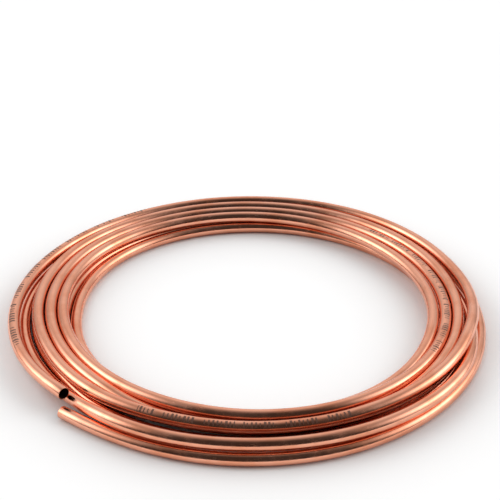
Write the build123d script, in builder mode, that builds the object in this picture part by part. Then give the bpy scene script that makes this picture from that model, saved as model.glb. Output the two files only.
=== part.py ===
"""Coil of soft copper tube, wound in two layers and lying flat on the floor.

The tube starts at its lower free end and winds inwards over the bottom layer. At
the eye it climbs, and it winds outwards again over the top layer. Its last turn
springs out past the pack, and the upper free end bends back in over it. Every half
turn is an arc that starts and ends on one upright seam plane through the middle of
the eye, so the turns run on smoothly from arc to arc. Millimetres, +Z up, floor at
Z = 0.
"""

import os
from math import cos, pi, radians, sin

from build123d import *

# Tube: the turns have a few flats, and the corners stand a little proud of the true round
tube_od = 10.0
wall = 0.7
bore_depth = 12.0
section_sides = 7
corner_share = 1.04

# Winding: near is the side of the seam plane where the last turn ends, far is across the eye
eye_radius = 142.0
lower_turns = 4
lower_gap = 0.5
climb_room = 6.5
climb_drift = 7.0
upper_turns = 3
upper_gap = 0.7
upper_drift = 2.5
loose_gap = 1.4
spring_out = 12.0
layer_gap = 1.0
seam_angle = 200.0

# Free ends
lower_arc = 142.5
lower_run = 33.0
tail_bend_radius = 125.0
tail_bend_angle = 30.0
round_end = 15.0

# Worked out from the sizes above
tube_radius = tube_od / 2
bore_radius = tube_radius - wall
corner_radius = tube_radius * corner_share
flat_radius = corner_radius * cos(pi / section_sides)
lower_pitch = tube_od + lower_gap
upper_pitch = tube_od + upper_gap
low_z = corner_radius
high_z = low_z + flat_radius + layer_gap + corner_radius
inner_lane = eye_radius + tube_radius
lower_lane = inner_lane + tube_od + climb_room
climb_lane = inner_lane + climb_drift

# The seam plane: local X runs out to the near side, local Y is up
seam_x = cos(radians(seam_angle))
seam_y = sin(radians(seam_angle))
seam = Plane(origin=(0, 0, 0), x_dir=(seam_x, seam_y, 0), z_dir=(seam_y, -seam_x, 0))

# Where the tube crosses the seam plane, from its first far side to its last near side
crossings = []
for turn in reversed(range(lower_turns)):
    lane = lower_lane + turn * lower_pitch
    crossings += [(-lane, low_z), (lane - lower_pitch, low_z)]
crossings[-1] = (inner_lane, low_z)
crossings += [(-climb_lane, high_z)]
for turn in range(upper_turns):
    lane = climb_lane + turn * upper_pitch
    crossings += [(lane + upper_drift, high_z), (-lane - upper_pitch, high_z)]
loose_lane = climb_lane + upper_turns * upper_pitch + loose_gap
last_lane = loose_lane + spring_out
crossings[-1] = (-loose_lane, high_z)
crossings += [(last_lane, high_z)]

# Each bend of the tube: where it starts on the seam plane, its axis and its angle
bends = []
for start, end in zip(crossings, crossings[1:]):
    middle = ((start[0] + end[0]) / 2, (start[1] + end[1]) / 2, 0)
    chord = abs(start[0] - end[0])
    upright = seam.from_local_coords((end[1] - start[1], chord, 0))
    bends.append((start, Axis(seam.from_local_coords(middle), upright), 180))

# The first turn is cut short, and the upper free end bends in more tightly than the turns
first_lane = -crossings[0][0]
tail_centre = seam.from_local_coords((last_lane - tail_bend_radius, high_z, 0))
bends.append((crossings[0], Axis((0, 0, 0), (0, 0, -1)), lower_arc))
bends.append((crossings[-1], Axis(tail_centre, (0, 0, 1)), tail_bend_angle))

# Where the straight ends start, each facing out of its mouth
cut = radians(180 - lower_arc)
lower_start = (first_lane * cos(cut), low_z, -first_lane * sin(cut))
lower_tail = Plane(
    origin=seam.from_local_coords(lower_start),
    x_dir=seam.from_local_coords((cos(cut), 0, -sin(cut))),
    z_dir=seam.from_local_coords((sin(cut), 0, cos(cut))),
)
bend = radians(tail_bend_angle)
bend_shift = tail_bend_radius * (1 - cos(bend))
bend_run = tail_bend_radius * sin(bend)
upper_tail = Plane(
    origin=seam.from_local_coords((last_lane - bend_shift, high_z, -bend_run)),
    z_dir=seam.from_local_coords((-sin(bend), 0, -cos(bend))),
)

with BuildPart() as tube_coil:
    # The winding, one bend after another
    for place, axis, angle in bends:
        with BuildSketch(seam):
            with Locations(place):
                RegularPolygon(corner_radius, section_sides, rotation=-90)
        revolve(axis=axis, revolution_arc=angle)

    # The lower end leaves the turns along a straight run
    with BuildSketch(lower_tail):
        RegularPolygon(corner_radius, section_sides, rotation=-90)
    extrude(amount=lower_run)

    # Both ends are straight and round up to their square-cut mouths, with the tube's own bore
    for tail in (lower_tail.offset(lower_run), upper_tail):
        with BuildSketch(tail):
            Circle(tube_radius)
        extrude(amount=round_end)
        with BuildSketch(tail.offset(round_end)):
            Circle(bore_radius)
        extrude(amount=-bore_depth, mode=Mode.SUBTRACT)

tube_coil.part.label = "tube_coil"
os.makedirs("parts", exist_ok=True)
export_step(tube_coil.part, "parts/tube_coil.step")
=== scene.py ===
"""Coil of soft copper tube on a pale studio floor.

One length of tube is drawn along one smooth line: in over the bottom layer, up at
the eye and out again over the top layer. Metres, +Z up, floor at Z = 0.
"""

import logging
from dataclasses import dataclass, field
from enum import Enum
from math import cos, pi, radians, sin, tan

import bmesh
import bpy
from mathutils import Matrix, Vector

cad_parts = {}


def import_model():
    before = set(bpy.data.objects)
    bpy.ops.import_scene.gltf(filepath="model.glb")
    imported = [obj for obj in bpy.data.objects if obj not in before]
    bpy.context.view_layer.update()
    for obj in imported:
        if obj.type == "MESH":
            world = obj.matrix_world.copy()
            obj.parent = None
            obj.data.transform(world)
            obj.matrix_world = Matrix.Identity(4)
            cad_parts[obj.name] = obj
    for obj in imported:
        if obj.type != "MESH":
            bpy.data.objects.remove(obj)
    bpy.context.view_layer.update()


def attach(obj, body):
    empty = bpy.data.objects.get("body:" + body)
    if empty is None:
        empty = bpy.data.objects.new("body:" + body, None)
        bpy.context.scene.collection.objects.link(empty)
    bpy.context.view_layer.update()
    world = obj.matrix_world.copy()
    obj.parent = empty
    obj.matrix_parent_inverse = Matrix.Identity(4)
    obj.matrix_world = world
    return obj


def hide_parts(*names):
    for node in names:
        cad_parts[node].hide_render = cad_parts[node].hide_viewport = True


LOG = logging.getLogger("tube_coil")
MM = 0.001
UV_NAME = "UVMap"
WHITE = (1.0, 1.0, 1.0, 1.0)
FINE_DEPTH = 0.0001  # Depth of the fine marks in the metal, in metres

Colour = tuple[float, float, float]
Value = bpy.types.NodeSocket | float


class Skin(Enum):
    """The surfaces of the tube, by material slot."""

    OUTSIDE = 0
    BORE = 1
    CUT = 2


@dataclass(frozen=True)
class Waypoint:
    """A place that the tube passes.

    Attributes:
        azimuth: Turned angle in degrees, counted on from turn to turn.
        lane: Distance of the tube's middle line from the eye's middle, in mm.
        height: Height of the tube's middle line over the floor, in mm.
    """

    azimuth: float
    lane: float
    height: float = 5.0

    def spot(self) -> Vector:
        """Gives the place in the frame.

        Returns:
            The place, in metres.
        """
        angle = radians(self.azimuth)
        return Vector((self.lane * cos(angle), self.lane * sin(angle), self.height)) * MM


def bottom_layer() -> list[Waypoint]:
    """Gives the places passed from the lower mouth to the eye, low where no height is given.

    Returns:
        The waypoints in order.
    """
    first_turn = [
        (224.2, 198.8), (230.0, 196.3), (240.0, 194.8), (250.0, 194.3), (270.0, 194.4),
        (290.0, 194.8), (315.0, 194.6), (360.0, 194.4), (405.0, 194.4), (450.0, 192.6),
        (495.0, 193.4), (525.0, 195.0), (540.0, 193.2), (550.0, 190.8),
    ]
    # Rises past the two mouths, rests on the first turn at the front and sinks again
    second_turn = [
        (560.0, 188.2, 5.0), (567.0, 186.4, 5.2), (575.0, 185.4, 6.0), (580.0, 185.0, 7.0),
        (585.0, 186.0, 9.4), (590.0, 187.8, 12.2), (595.0, 189.9, 14.3), (600.0, 191.0, 15.1),
        (610.0, 191.0, 15.1), (620.0, 190.4, 15.1), (630.0, 190.0, 15.1), (640.0, 190.6, 15.1),
        (650.0, 191.6, 15.1), (660.0, 192.6, 15.1), (670.0, 193.5, 15.1), (680.0, 194.0, 15.1),
        (690.0, 193.6, 15.1), (695.0, 192.0, 14.9), (700.0, 190.0, 14.2), (705.0, 188.0, 12.9),
        (710.0, 186.5, 11.5), (715.0, 185.5, 10.0), (720.0, 184.8, 8.4), (725.0, 184.4, 6.9),
        (730.0, 184.2, 5.8), (740.0, 184.2, 5.0),
    ]
    inner_turns = [
        (765.0, 184.0), (810.0, 182.2), (855.0, 182.0), (885.0, 184.6), (900.0, 182.4),
        (910.0, 179.8), (920.0, 177.0), (930.0, 174.6), (935.0, 174.4), (940.0, 174.6),
        (945.0, 176.0), (950.0, 177.2), (955.0, 177.6), (965.0, 177.2), (975.0, 176.4),
        (990.0, 175.8), (1010.0, 177.2), (1020.0, 178.7), (1030.0, 180.2), (1040.0, 181.3),
        (1050.0, 182.2), (1060.0, 182.0), (1065.0, 181.0), (1070.0, 178.9), (1075.0, 176.7),
        (1080.0, 175.0), (1090.0, 173.9), (1125.0, 173.4), (1170.0, 170.2), (1200.0, 167.9),
        (1224.0, 166.3), (1245.0, 161.8), (1260.0, 158.9), (1280.0, 158.4), (1300.0, 157.6),
        (1310.0, 156.4), (1320.0, 154.0), (1330.0, 152.8), (1340.0, 152.8), (1350.0, 153.4),
        (1360.0, 154.5), (1370.0, 156.2), (1380.0, 158.9), (1390.0, 161.6), (1400.0, 162.9),
        (1410.0, 163.4), (1440.0, 163.5), (1470.0, 162.6), (1500.0, 160.2), (1530.0, 158.0),
        (1560.0, 157.3), (1575.0, 156.8), (1590.0, 154.8), (1605.0, 151.3), (1620.0, 148.4),
        (1640.0, 148.0), (1660.0, 147.0), (1670.0, 145.9), (1680.0, 143.8), (1690.0, 142.6),
        (1700.0, 142.6),
    ]
    return [Waypoint(*place) for place in first_turn + second_turn + inner_turns]


def top_layer() -> list[Waypoint]:
    """Gives the places passed from the climb at the eye to the upper mouth.

    Returns:
        The waypoints in order.
    """
    climb = [
        (1710.0, 143.2, 5.0), (1720.0, 144.3, 5.0), (1730.0, 146.0, 5.0), (1740.0, 148.7, 5.2),
        (1750.0, 151.4, 7.0), (1760.0, 153.6, 9.3), (1770.0, 154.9, 11.8), (1780.0, 154.7, 13.9),
        (1790.0, 154.8, 15.2), (1800.0, 154.7, 15.4),
    ]
    inner_turn = [
        (1820.0, 154.2, 15.4), (1840.0, 154.5, 15.4), (1860.0, 157.0, 15.4), (1890.0, 160.0, 15.4),
        (1920.0, 162.0, 15.4), (1935.0, 164.1, 15.4), (1950.0, 164.5, 15.4), (1965.0, 162.5, 15.4),
        (1980.0, 159.7, 15.4), (2000.0, 156.1, 15.4), (2020.0, 154.2, 15.4), (2030.0, 154.1, 15.5),
        (2040.0, 154.4, 15.9), (2050.0, 155.5, 16.3), (2060.0, 156.9, 16.5), (2070.0, 158.4, 16.6),
        (2080.0, 159.6, 16.6), (2090.0, 160.7, 16.5), (2100.0, 161.7, 16.2), (2110.0, 162.6, 15.9),
        (2130.0, 164.2, 15.6), (2140.0, 164.8, 15.6), (2160.0, 165.6, 15.4),
    ]
    # Sinks between its two neighbours at the front
    middle_turn = [
        (2180.0, 166.2, 15.4), (2200.0, 167.5, 15.4), (2220.0, 169.0, 15.4), (2250.0, 170.6, 15.4),
        (2280.0, 172.6, 15.4), (2295.0, 174.7, 15.4), (2310.0, 174.9, 15.4), (2325.0, 172.9, 15.4),
        (2340.0, 170.1, 15.4), (2360.0, 166.4, 15.4), (2380.0, 164.5, 15.4), (2385.0, 164.2, 15.0),
        (2390.0, 163.8, 13.3), (2395.0, 163.3, 11.7), (2400.0, 162.9, 10.2), (2410.0, 162.3, 8.7),
        (2420.0, 162.6, 8.0), (2430.0, 163.3, 7.7), (2440.0, 164.4, 7.6), (2450.0, 166.0, 7.8),
        (2460.0, 168.5, 8.6), (2470.0, 171.2, 10.5), (2480.0, 173.1, 12.9), (2490.0, 174.4, 15.1),
        (2500.0, 174.9, 15.5), (2505.0, 175.2, 15.4), (2520.0, 176.2, 15.4),
    ]
    # Rises over the raised second turn of the bottom layer at the right
    outer_turn = [
        (2540.0, 177.7, 15.4), (2560.0, 179.5, 15.4), (2580.0, 181.0, 15.4), (2610.0, 182.0, 15.4),
        (2640.0, 183.5, 15.4), (2655.0, 185.3, 15.4), (2670.0, 185.8, 15.4), (2685.0, 183.9, 15.4),
        (2700.0, 180.9, 15.4), (2720.0, 176.6, 15.4), (2740.0, 174.9, 15.5), (2745.0, 174.5, 15.5),
        (2750.0, 173.8, 15.5), (2755.0, 172.8, 15.5), (2760.0, 171.7, 15.5), (2770.0, 170.2, 15.2),
        (2780.0, 169.9, 15.1), (2790.0, 170.4, 15.0), (2800.0, 171.2, 15.2), (2810.0, 172.6, 15.5),
        (2820.0, 175.0, 16.4), (2830.0, 178.2, 18.0), (2840.0, 181.0, 19.4), (2850.0, 183.2, 20.8),
        (2860.0, 184.8, 22.6), (2865.0, 185.8, 23.1), (2870.0, 187.0, 22.1), (2875.0, 188.0, 20.6),
        (2880.0, 188.8, 18.9),
    ]
    # Springs out past the pack and bends in again to the upper mouth
    last_turn = [
        (2890.0, 190.0, 16.7), (2900.0, 190.8, 15.6), (2920.0, 193.7, 15.4), (2940.0, 194.8, 15.4),
        (2970.0, 193.6, 15.4), (3000.0, 194.2, 15.4), (3015.0, 195.8, 15.4), (3030.0, 197.3, 15.4),
        (3045.0, 199.0, 15.4), (3060.0, 199.8, 15.4), (3070.0, 199.4, 15.5), (3080.0, 198.3, 15.6),
        (3090.0, 196.4, 15.8), (3096.0, 194.8, 16.0), (3102.8, 192.4, 16.2),
    ]
    turns = climb + inner_turn + middle_turn + outer_turn + last_turn
    return [Waypoint(*place) for place in turns]


@dataclass(frozen=True)
class Grain:
    """A noise.

    Attributes:
        scale: How fine it is.
        detail: How many finer layers it has.
    """

    scale: float
    detail: float


@dataclass(frozen=True)
class Ramp:
    """A range of values and the range that it is stretched onto.

    Attributes:
        start: Where the range starts.
        end: Where it ends.
        low: What its start becomes.
        high: What its end becomes.
    """

    start: float
    end: float
    low: float
    high: float


@dataclass
class Bench:
    """A material's or world's node tree, with short ways to add to it.

    Attributes:
        tree: The node tree.
    """

    tree: bpy.types.NodeTree

    def feed(self, socket: bpy.types.NodeSocket, value: Value | tuple) -> None:
        """Sets an input, or links it.

        Args:
            socket: The input.
            value: A number, a tuple or another node's output.
        """
        if isinstance(value, bpy.types.NodeSocket):
            self.tree.links.new(value, socket)
        else:
            socket.default_value = value

    def add(self, kind: str, inputs: dict[str, Value | tuple], **settings: str) -> bpy.types.Node:
        """Adds a node.

        Args:
            kind: The node's type, without its leading word.
            inputs: What its named inputs hold.
            settings: The node's own settings.

        Returns:
            The new node.
        """
        node = self.tree.nodes.new("ShaderNode" + kind)
        for name, setting in settings.items():
            setattr(node, name, setting)
        for name, value in inputs.items():
            self.feed(node.inputs[name], value)
        return node

    def math(self, operation: str, *values: Value) -> bpy.types.NodeSocket:
        """Works something out.

        Args:
            operation: The Math node's operation.
            values: Numbers or other nodes' outputs.

        Returns:
            The result.
        """
        node = self.add("Math", {}, operation=operation)
        for socket, value in zip(node.inputs, values):
            self.feed(socket, value)
        return node.outputs[0]

    def blend(self, share: Value, low: Colour | bpy.types.NodeSocket,
              high: Colour) -> bpy.types.NodeSocket:
        """Blends two colours.

        Args:
            share: How much of the second shows.
            low: The first colour.
            high: The second colour.

        Returns:
            The blended colour.
        """
        node = self.add("Mix", {}, data_type="RGBA")
        first = low if isinstance(low, bpy.types.NodeSocket) else (*low, 1.0)
        # The node repeats its names for every type of data, so the colours go by number
        for place, value in ((0, share), (6, first), (7, (*high, 1.0))):
            self.feed(node.inputs[place], value)
        return node.outputs[2]

    def spread(self, value: Value, ramp: Ramp) -> bpy.types.NodeSocket:
        """Stretches a range of values onto another, smoothly and held at its ends.

        Args:
            value: What is stretched.
            ramp: The two ranges.

        Returns:
            The stretched value.
        """
        inputs = {
            "Value": value,
            "From Min": ramp.start, "From Max": ramp.end,
            "To Min": ramp.low, "To Max": ramp.high,
        }
        return self.add("MapRange", inputs, interpolation_type="SMOOTHSTEP").outputs[0]

    def noise(self, place: bpy.types.NodeSocket, grain: Grain) -> bpy.types.NodeSocket:
        """Adds a noise.

        Args:
            place: Where it is read.
            grain: How fine it is.

        Returns:
            The noise's value.
        """
        inputs = {"Vector": place, "Scale": grain.scale, "Detail": grain.detail}
        return self.add("TexNoise", inputs).outputs[0]

    def wrapped(self, along: bpy.types.NodeSocket, around: bpy.types.NodeSocket,
                stretch: float, girth: float) -> bpy.types.NodeSocket:
        """Gives a place that runs on along the tube and closes round it.

        Args:
            along: Place along the tube, 0 to 1.
            around: Place round the tube, 0 to 1.
            stretch: How far the whole length reaches.
            girth: Radius of the way round.

        Returns:
            The place.
        """
        turn = self.math("MULTIPLY", around, 2 * pi)
        return self.add("CombineXYZ", {
            "X": self.math("MULTIPLY", along, stretch),
            "Y": self.math("MULTIPLY", self.math("COSINE", turn), girth),
            "Z": self.math("MULTIPLY", self.math("SINE", turn), girth),
        }).outputs[0]

    def emboss(self, height: bpy.types.NodeSocket, strength: float) -> bpy.types.NodeSocket:
        """Raises fine marks from the surface.

        Args:
            height: How high the marks stand.
            strength: How much they show.

        Returns:
            The marked surface's normal.
        """
        inputs = {"Height": height, "Strength": strength, "Distance": FINE_DEPTH}
        return self.add("Bump", inputs).outputs[0]


@dataclass(frozen=True)
class InkRow:
    """A row of plain ticks printed along the tube.

    Attributes:
        start: Azimuth where the row starts, counted on from turn to turn.
        end: Azimuth where it ends.
        around: Where it lies round the tube: 0.25 is on top, 0.5 outside.
    """

    start: float
    end: float
    around: float


@dataclass(frozen=True)
class InkPrint:
    """The ink ticks on the tube.

    Attributes:
        length: Length of the tube, in mm.
        tick: Pitch of the ticks, in mm.
        word: Length of a group of ticks with its gap, in mm.
        worded: Share of that length that holds ticks.
        widths: Widths of the ticks by chance, as shares of the pitch.
        reach: Half height of the tallest tick, as a share of the way round the tube.
        short: Share of that height that the shortest tick has.
        tall: Chance from which on a tick is as tall as the tallest.
        rows: The rows of ticks.
    """

    length: float = 8750.0
    tick: float = 3.2
    word: float = 31.0
    worded: float = 0.8
    widths: Ramp = Ramp(0.1, 1.0, 0.3, 0.62)
    reach: float = 0.085
    short: float = 0.6
    tall: float = 0.8
    rows: tuple[InkRow, ...] = (
        InkRow(2134.0, 2213.0, 0.24), InkRow(2767.0, 2821.0, 0.29), InkRow(3006.0, 3088.0, 0.25),
    )

    def cover(self, bench: Bench, along: bpy.types.NodeSocket, around: bpy.types.NodeSocket,
              line: list[Waypoint]) -> bpy.types.NodeSocket:
        """Lays out the ticks.

        Args:
            bench: The material's bench.
            along: Place along the tube, 0 to 1.
            around: Place round the tube, 0 to 1.
            line: The tube's waypoints.

        Returns:
            How much ink there is, 0 to 1.
        """
        count = bench.math("MULTIPLY", along, self.length / self.tick)
        number = bench.math("FLOOR", count)
        chance = bench.add("TexWhiteNoise", {"W": number}, noise_dimensions="1D").outputs[0]
        width = bench.spread(chance, self.widths)
        stroke = bench.math("LESS_THAN", bench.math("FRACT", count), width)
        group = bench.math("FRACT", bench.math("MULTIPLY", along, self.length / self.word))
        stroke = bench.math("MULTIPLY", stroke, bench.math("LESS_THAN", group, self.worded))
        half = bench.spread(chance, Ramp(0.0, self.tall, self.short * self.reach, self.reach))
        first, turned = line[0].azimuth, line[-1].azimuth - line[0].azimuth
        total = None
        for row in self.rows:
            near = bench.math("GREATER_THAN", along, (row.start - first) / turned)
            before = bench.math("LESS_THAN", along, (row.end - first) / turned)
            near = bench.math("MULTIPLY", near, before)
            off = bench.math("ABSOLUTE", bench.math("SUBTRACT", around, row.around))
            near = bench.math("MULTIPLY", near, bench.math("LESS_THAN", off, half))
            total = near if total is None else bench.math("ADD", total, near)
        return bench.math("MULTIPLY", total, stroke)


@dataclass(frozen=True)
class CopperFinish:
    """Bright drawn copper, a little handled, with faint rows of ink ticks.

    Attributes:
        name: Name of the material.
        clean: Colour of the clean metal.
        dull: Colour where the metal has dulled.
        ink: Colour of the ink.
        inked: How much of the metal the ink hides.
        ink_metal: How metallic the ink is.
        marked: How much rougher ink and scuffs are.
        scuffed: How much a scuff dulls the metal.
        scuff_depth: Depth of a scuff, next to the height of the draw lines.
        embossed: How much the marks show in the surface.
        line_stretch: How far the tube's length reaches in the draw lines' noise.
        scuff_stretch: How far it reaches in the scuffs' noise.
        scuff_girth: Radius of the way round in the scuffs' noise.
        line_grain: Noise of the draw lines.
        cloud_grain: Noise of the tarnish clouds.
        smudge_grain: Noise of the finger smudges.
        scuff_grain: Noise of the short scuffs.
        line_dirt: How much the draw lines dull the metal.
        cloud_dirt: How much the clouds dull it.
        scuff_mask: Where scuffs are.
        handling: Roughness of the metal, from clean to smudged.
        ticks: The ink ticks.
    """

    name: str = "drawn_copper"
    clean: Colour = (0.93, 0.43, 0.285)
    dull: Colour = (0.76, 0.26, 0.13)
    ink: Colour = (0.11, 0.06, 0.045)
    inked: float = 0.85
    ink_metal: float = 0.3
    marked: float = 0.2
    scuffed: float = 0.35
    scuff_depth: float = -0.5
    embossed: float = 0.12
    line_stretch: float = 60.0
    scuff_stretch: float = 900.0
    scuff_girth: float = 6.0
    line_grain: Grain = Grain(9.0, 3.0)
    cloud_grain: Grain = Grain(34.0, 3.0)
    smudge_grain: Grain = Grain(140.0, 4.0)
    scuff_grain: Grain = Grain(1.0, 1.0)
    line_dirt: Ramp = Ramp(0.5, 0.75, 0.0, 0.3)
    cloud_dirt: Ramp = Ramp(0.4, 0.7, 0.0, 0.55)
    scuff_mask: Ramp = Ramp(0.7, 0.78, 0.0, 1.0)
    handling: Ramp = Ramp(0.4, 0.7, 0.15, 0.27)
    ticks: InkPrint = InkPrint()

    def material(self, line: list[Waypoint]) -> bpy.types.Material:
        """Builds the material.

        Args:
            line: The tube's waypoints.

        Returns:
            The new material.
        """
        made = bpy.data.materials.new(self.name)
        made.use_nodes = True
        bench = Bench(made.node_tree)
        shader = made.node_tree.nodes["Principled BSDF"]
        place = bench.add("TexCoord", {}).outputs["Object"]
        chart = bench.add("UVMap", {}, uv_map=UV_NAME).outputs[0]
        along, around = bench.add("SeparateXYZ", {"Vector": chart}).outputs[:2]

        # Draw lines and scuffs follow the tube, clouds and smudges lie across its turns
        lines = bench.noise(bench.wrapped(along, around, self.line_stretch, 1.0), self.line_grain)
        scuff = bench.wrapped(along, around, self.scuff_stretch, self.scuff_girth)
        scuffs = bench.spread(bench.noise(scuff, self.scuff_grain), self.scuff_mask)
        clouds = bench.noise(place, self.cloud_grain)
        smudges = bench.noise(place, self.smudge_grain)
        ink = self.ticks.cover(bench, along, around, line)

        dirt = bench.math("ADD", bench.spread(clouds, self.cloud_dirt),
                          bench.spread(lines, self.line_dirt))
        metal = bench.blend(dirt, self.clean, self.dull)
        metal = bench.blend(bench.math("MULTIPLY", scuffs, self.scuffed), metal, self.dull)
        colour = bench.blend(bench.math("MULTIPLY", ink, self.inked), metal, self.ink)
        bench.feed(shader.inputs["Base Color"], colour)

        metallic = bench.spread(ink, Ramp(0.0, 1.0, 1.0, self.ink_metal))
        bench.feed(shader.inputs["Metallic"], metallic)

        handled = bench.spread(smudges, self.handling)
        marks = bench.math("MULTIPLY", bench.math("ADD", ink, scuffs), self.marked)
        bench.feed(shader.inputs["Roughness"], bench.math("ADD", handled, marks))

        height = bench.math("ADD", lines, bench.math("MULTIPLY", scuffs, self.scuff_depth))
        bench.feed(shader.inputs["Normal"], bench.emboss(height, self.embossed))
        return made


@dataclass(frozen=True)
class RawFinish:
    """Copper that was never drawn bright: the bore or a cut face.

    Attributes:
        name: Name of the material.
        light: Colour of its lighter patches.
        dark: Colour of its darker patches.
        grain: Noise of the patches.
        rough: Roughness of the lighter patches.
        rougher: How much rougher the darker patches are.
        embossed: How much the patches show in the surface.
        start: Where the noise of the patches starts to turn light.
        end: Where it is all light.
    """

    name: str
    light: Colour
    dark: Colour
    grain: Grain
    rough: float
    rougher: float = 0.15
    embossed: float = 0.2
    start: float = 0.35
    end: float = 0.65

    def material(self) -> bpy.types.Material:
        """Builds the material.

        Returns:
            The new material.
        """
        made = bpy.data.materials.new(self.name)
        made.use_nodes = True
        bench = Bench(made.node_tree)
        shader = made.node_tree.nodes["Principled BSDF"]
        place = bench.add("TexCoord", {}).outputs["Object"]
        patches = bench.noise(place, self.grain)
        share = bench.spread(patches, Ramp(self.start, self.end, 0.0, 1.0))
        bench.feed(shader.inputs["Base Color"], bench.blend(share, self.dark, self.light))
        rough = Ramp(self.start, self.end, self.rough + self.rougher, self.rough)
        bench.feed(shader.inputs["Roughness"], bench.spread(patches, rough))
        bench.feed(shader.inputs["Normal"], bench.emboss(patches, self.embossed))
        shader.inputs["Metallic"].default_value = 1.0
        return made


@dataclass
class TubeCoil:
    """The coiled tube.

    Attributes:
        outside: Outside diameter of the tube, in mm.
        wall: Thickness of the tube's wall, in mm.
        step: Turned angle between the line's control points, in degrees.
        sides: Number of faces round the tube.
        pieces: Number of faces along the tube between control points.
        rim: How far the mouths' edges are rounded, in mm.
        slant: Angle that the upper mouth's cut is out of square, in degrees.
        line: The waypoints from mouth to mouth.
    """

    outside: float = 10.0
    wall: float = 0.7
    step: float = 7.5
    sides: int = 24
    pieces: int = 3
    rim: float = 0.15
    slant: float = -3.0
    line: list[Waypoint] = field(default_factory=lambda: bottom_layer() + top_layer())

    def place(self, azimuth: float) -> Waypoint:
        """Reads the winding at an angle between two waypoints.

        Args:
            azimuth: Turned angle in degrees.

        Returns:
            The place of the tube's middle line there.
        """
        # The last pair of waypoints also serves an angle that is rounded past the end
        for start, end in zip(self.line, self.line[1:]):
            if azimuth <= end.azimuth:
                break
        share = (azimuth - start.azimuth) / (end.azimuth - start.azimuth)
        lane = start.lane + share * (end.lane - start.lane)
        height = start.height + share * (end.height - start.height)
        return Waypoint(azimuth, lane, height)

    def middle_line(self) -> bpy.types.Curve:
        """Draws the tube's middle line as one smooth cubic spline.

        Returns:
            The curve, with no thickness yet.
        """
        first, last = self.line[0].azimuth, self.line[-1].azimuth
        count = round((last - first) / self.step)
        # A spline runs inside the points that steer it, so they stand out a little
        stand_out = 3.0 / (2.0 + cos(radians(self.step)))
        curve = bpy.data.curves.new("tube_line", "CURVE")
        curve.dimensions = "3D"
        spline = curve.splines.new("NURBS")
        spline.points.add(count)
        for index, point in enumerate(spline.points):
            spot = self.place(first + (last - first) * index / count).spot()
            if 0 < index < count:
                spot.xy *= stand_out
            point.co = (*spot, 1.0)
        spline.order_u = 4
        spline.use_endpoint_u = True
        spline.resolution_u = self.pieces
        return curve

    def wall_mesh(self, radius: float) -> bpy.types.Mesh:
        """Sweeps a round of the given radius along the middle line.

        Args:
            radius: Radius of the round, in mm.

        Returns:
            An open tube with a UV map: U along the tube, V round it.
        """
        curve = self.middle_line()
        curve.twist_mode = "Z_UP"
        curve.bevel_depth = radius * MM
        # The round starts with four sides and gains two with each step of resolution
        curve.bevel_resolution = (self.sides - 4) // 2
        carrier = bpy.data.objects.new("tube_line", curve)
        bpy.context.scene.collection.objects.link(carrier)
        bpy.context.view_layer.update()
        mesh = bpy.data.meshes.new_from_object(carrier)
        bpy.data.objects.remove(carrier)
        bpy.data.curves.remove(curve)
        return mesh

    def cut_mouth(self, shell: bmesh.types.BMesh, end: Waypoint, slant: float) -> None:
        """Closes the wall at one mouth and rounds its two edges.

        Args:
            shell: The tube's outer and inner walls.
            end: Where the mouth is.
            slant: Angle that the cut is out of square, in degrees.
        """
        # The mouth's two rings lie a little less than this far from its middle
        middle, reach = end.spot(), 0.6 * self.outside * MM
        rings = [edge for edge in shell.edges
                 if edge.is_boundary and (edge.verts[0].co - middle).length < reach]
        across = middle.xy.normalized().to_3d()
        ahead = Vector((-across.y, across.x, 0.0))
        for vert in {vert for edge in rings for vert in edge.verts}:
            vert.co += ahead * (across.dot(vert.co - middle) * tan(radians(slant)))
        made = bmesh.ops.bridge_loops(shell, edges=rings)
        for face in made["faces"]:
            face.material_index = Skin.CUT.value
        bmesh.ops.bevel(shell, geom=rings, offset=self.rim * MM, segments=2, profile=0.5,
                        affect="EDGES", material=-1)

    def build(self) -> bpy.types.Object:
        """Builds the hollow tube with its cut mouths.

        Returns:
            The finished piece.
        """
        shell = bmesh.new()
        shell.from_mesh(self.wall_mesh(self.outside / 2))
        outer_faces = len(shell.faces)
        shell.from_mesh(self.wall_mesh(self.outside / 2 - self.wall))
        shell.faces.ensure_lookup_table()
        inner = shell.faces[outer_faces:]
        for face in inner:
            face.material_index = Skin.BORE.value
        bmesh.ops.reverse_faces(shell, faces=inner)
        self.cut_mouth(shell, self.line[0], 0.0)
        self.cut_mouth(shell, self.line[-1], self.slant)
        for face in shell.faces:
            face.smooth = True
        mesh = bpy.data.meshes.new("copper_tube")
        shell.to_mesh(mesh)
        shell.free()
        piece = bpy.data.objects.new("copper_tube", mesh)
        bpy.context.scene.collection.objects.link(piece)
        return piece

    def dress(self, piece: bpy.types.Object) -> None:
        """Gives the tube its finishes and ties it to the frame.

        Args:
            piece: The tube's object.
        """
        bore = RawFinish("bore_copper", light=(0.10, 0.045, 0.03), dark=(0.04, 0.02, 0.015),
                         grain=Grain(300.0, 4.0), rough=0.5)
        cut = RawFinish("cut_copper", light=(0.90, 0.50, 0.34), dark=(0.72, 0.34, 0.21),
                        grain=Grain(2500.0, 4.0), rough=0.3)
        for made in (CopperFinish().material(self.line), bore.material(), cut.material()):
            piece.data.materials.append(made)
        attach(piece, "root")
        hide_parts("tube_coil")


@dataclass(frozen=True)
class Glow:
    """A soft bright region of the studio's walls.

    Attributes:
        towards: Direction of its middle, seen from the coil.
        tightness: How quickly it fades with the angle.
        strength: How bright its middle is.
    """

    towards: tuple[float, float, float]
    tightness: float
    strength: float


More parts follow.
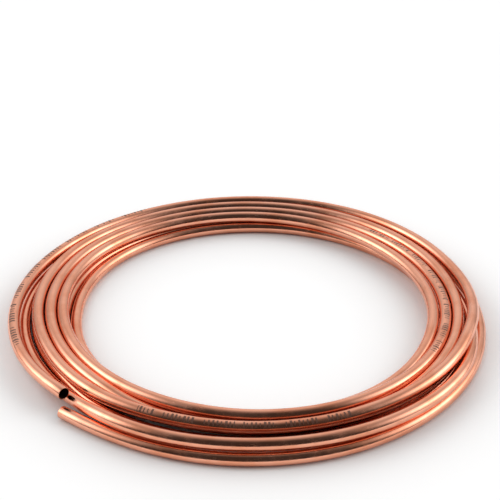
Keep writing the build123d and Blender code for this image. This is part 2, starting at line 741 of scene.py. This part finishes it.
@dataclass(frozen=True)
class Studio:
    """The floor, the light and the camera.

    Attributes:
        eye: Place of the camera, in metres.
        pitch: Angle of the view below level, in degrees.
        lens: Focal length, in mm.
        sensor: Width of the sensor, in mm.
        gloom: How bright the studio is where nothing glows.
        glows: The soft bright regions.
        floor_half: Half the width of the floor, in metres.
        floor_colour: Colour of the floor.
        floor_rough: Roughness of the floor.
        lift: How much the floor's own white adds where it is seen.
        nook: Reach of the painted shade near a thing, which takes that white off the floor, in
            metres.
        falloff: How quickly that white fades into painted shade near a thing.
    """

    eye: tuple[float, float, float] = (-0.0003, -0.859, 0.549)
    pitch: float = 29.25
    lens: float = 85.1
    sensor: float = 36.0
    gloom: float = 0.05
    glows: tuple[Glow, ...] = (
        Glow((0.0, 0.86, 0.5), 2.5, 0.82),
        Glow((-0.86, 0.1, 0.5), 13.0, 3.2),
        Glow((0.88, 0.1, 0.46), 13.0, 3.2),
    )
    floor_half: float = 40.0
    floor_colour: Colour = (0.93, 0.93, 0.93)
    floor_rough: float = 0.7
    lift: float = 0.4
    nook: float = 0.07
    falloff: float = 2.0

    def floor_finish(self) -> bpy.types.Material:
        """Builds the floor's material, which is white to the eye, keeps its shadows and has
        painted shade added near things.

        Returns:
            The new material.
        """
        pale = bpy.data.materials.new("pale_floor")
        pale.use_nodes = True
        bench = Bench(pale.node_tree)
        shader = pale.node_tree.nodes["Principled BSDF"]
        shader.inputs["Base Color"].default_value = (*self.floor_colour, 1.0)
        shader.inputs["Roughness"].default_value = self.floor_rough
        shader.inputs["Emission Color"].default_value = WHITE
        rays = bench.add("LightPath", {}).outputs
        seen = bench.math("MAXIMUM", rays["Is Camera Ray"], rays["Is Glossy Ray"])
        seen = bench.math("MAXIMUM", seen, rays["Is Transmission Ray"])
        # Painted shade: the added white fades out near the coil by ambient occlusion, darkening
        # the floor around and between the tube's turns
        nook = bench.add("AmbientOcclusion", {"Distance": self.nook})
        unshaded_lift_share = bench.math("POWER", nook.outputs["AO"], self.falloff)
        seen = bench.math("MULTIPLY", seen, unshaded_lift_share)
        bench.feed(shader.inputs["Emission Strength"], bench.math("MULTIPLY", seen, self.lift))
        return pale

    def floor(self) -> None:
        """Lays the pale floor."""
        sheet = bmesh.new()
        bmesh.ops.create_grid(sheet, x_segments=1, y_segments=1, size=self.floor_half)
        mesh = bpy.data.meshes.new("floor")
        sheet.to_mesh(mesh)
        sheet.free()
        floor = bpy.data.objects.new("floor", mesh)
        bpy.context.scene.collection.objects.link(floor)
        mesh.materials.append(self.floor_finish())

    def light(self) -> None:
        """Lights the studio from its walls, softly."""
        world = bpy.data.worlds.new("studio")
        world.use_nodes = True
        bench = Bench(world.node_tree)
        back = world.node_tree.nodes["Background"]
        heading = bench.add("TexCoord", {}).outputs["Generated"]
        total = self.gloom
        for glow in self.glows:
            dot = bench.add("VectorMath", {}, operation="DOT_PRODUCT")
            bench.feed(dot.inputs[0], heading)
            bench.feed(dot.inputs[1], tuple(Vector(glow.towards).normalized()))
            facing = bench.math("MAXIMUM", dot.outputs["Value"], 0.0)
            faded = bench.math("POWER", facing, glow.tightness)
            total = bench.math("ADD", bench.math("MULTIPLY", faded, glow.strength), total)
        back.inputs["Color"].default_value = WHITE
        bench.feed(back.inputs["Strength"], total)
        bpy.context.scene.world = world

    def camera(self) -> None:
        """Stands the camera at the picture's view."""
        data = bpy.data.cameras.new("view")
        data.sensor_width = self.sensor
        data.lens = self.lens
        view = bpy.data.objects.new("view", data)
        view.location = self.eye
        view.rotation_euler = (radians(90.0 - self.pitch), 0.0, 0.0)
        bpy.context.scene.collection.objects.link(view)
        bpy.context.scene.camera = view

    def build(self) -> None:
        """Sets up the whole studio."""
        bpy.context.scene.view_settings.view_transform = "Standard"
        self.floor()
        self.light()
        self.camera()


def main() -> None:
    """Builds the coil and the studio, and notes the tube's face count."""
    logging.basicConfig(level=logging.INFO, format="%(name)s: %(message)s")
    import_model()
    coil = TubeCoil()
    piece = coil.build()
    coil.dress(piece)
    LOG.info("built %s with %d faces", piece.name, len(piece.data.polygons))
    Studio().build()


if __name__ == "__main__":
    main()
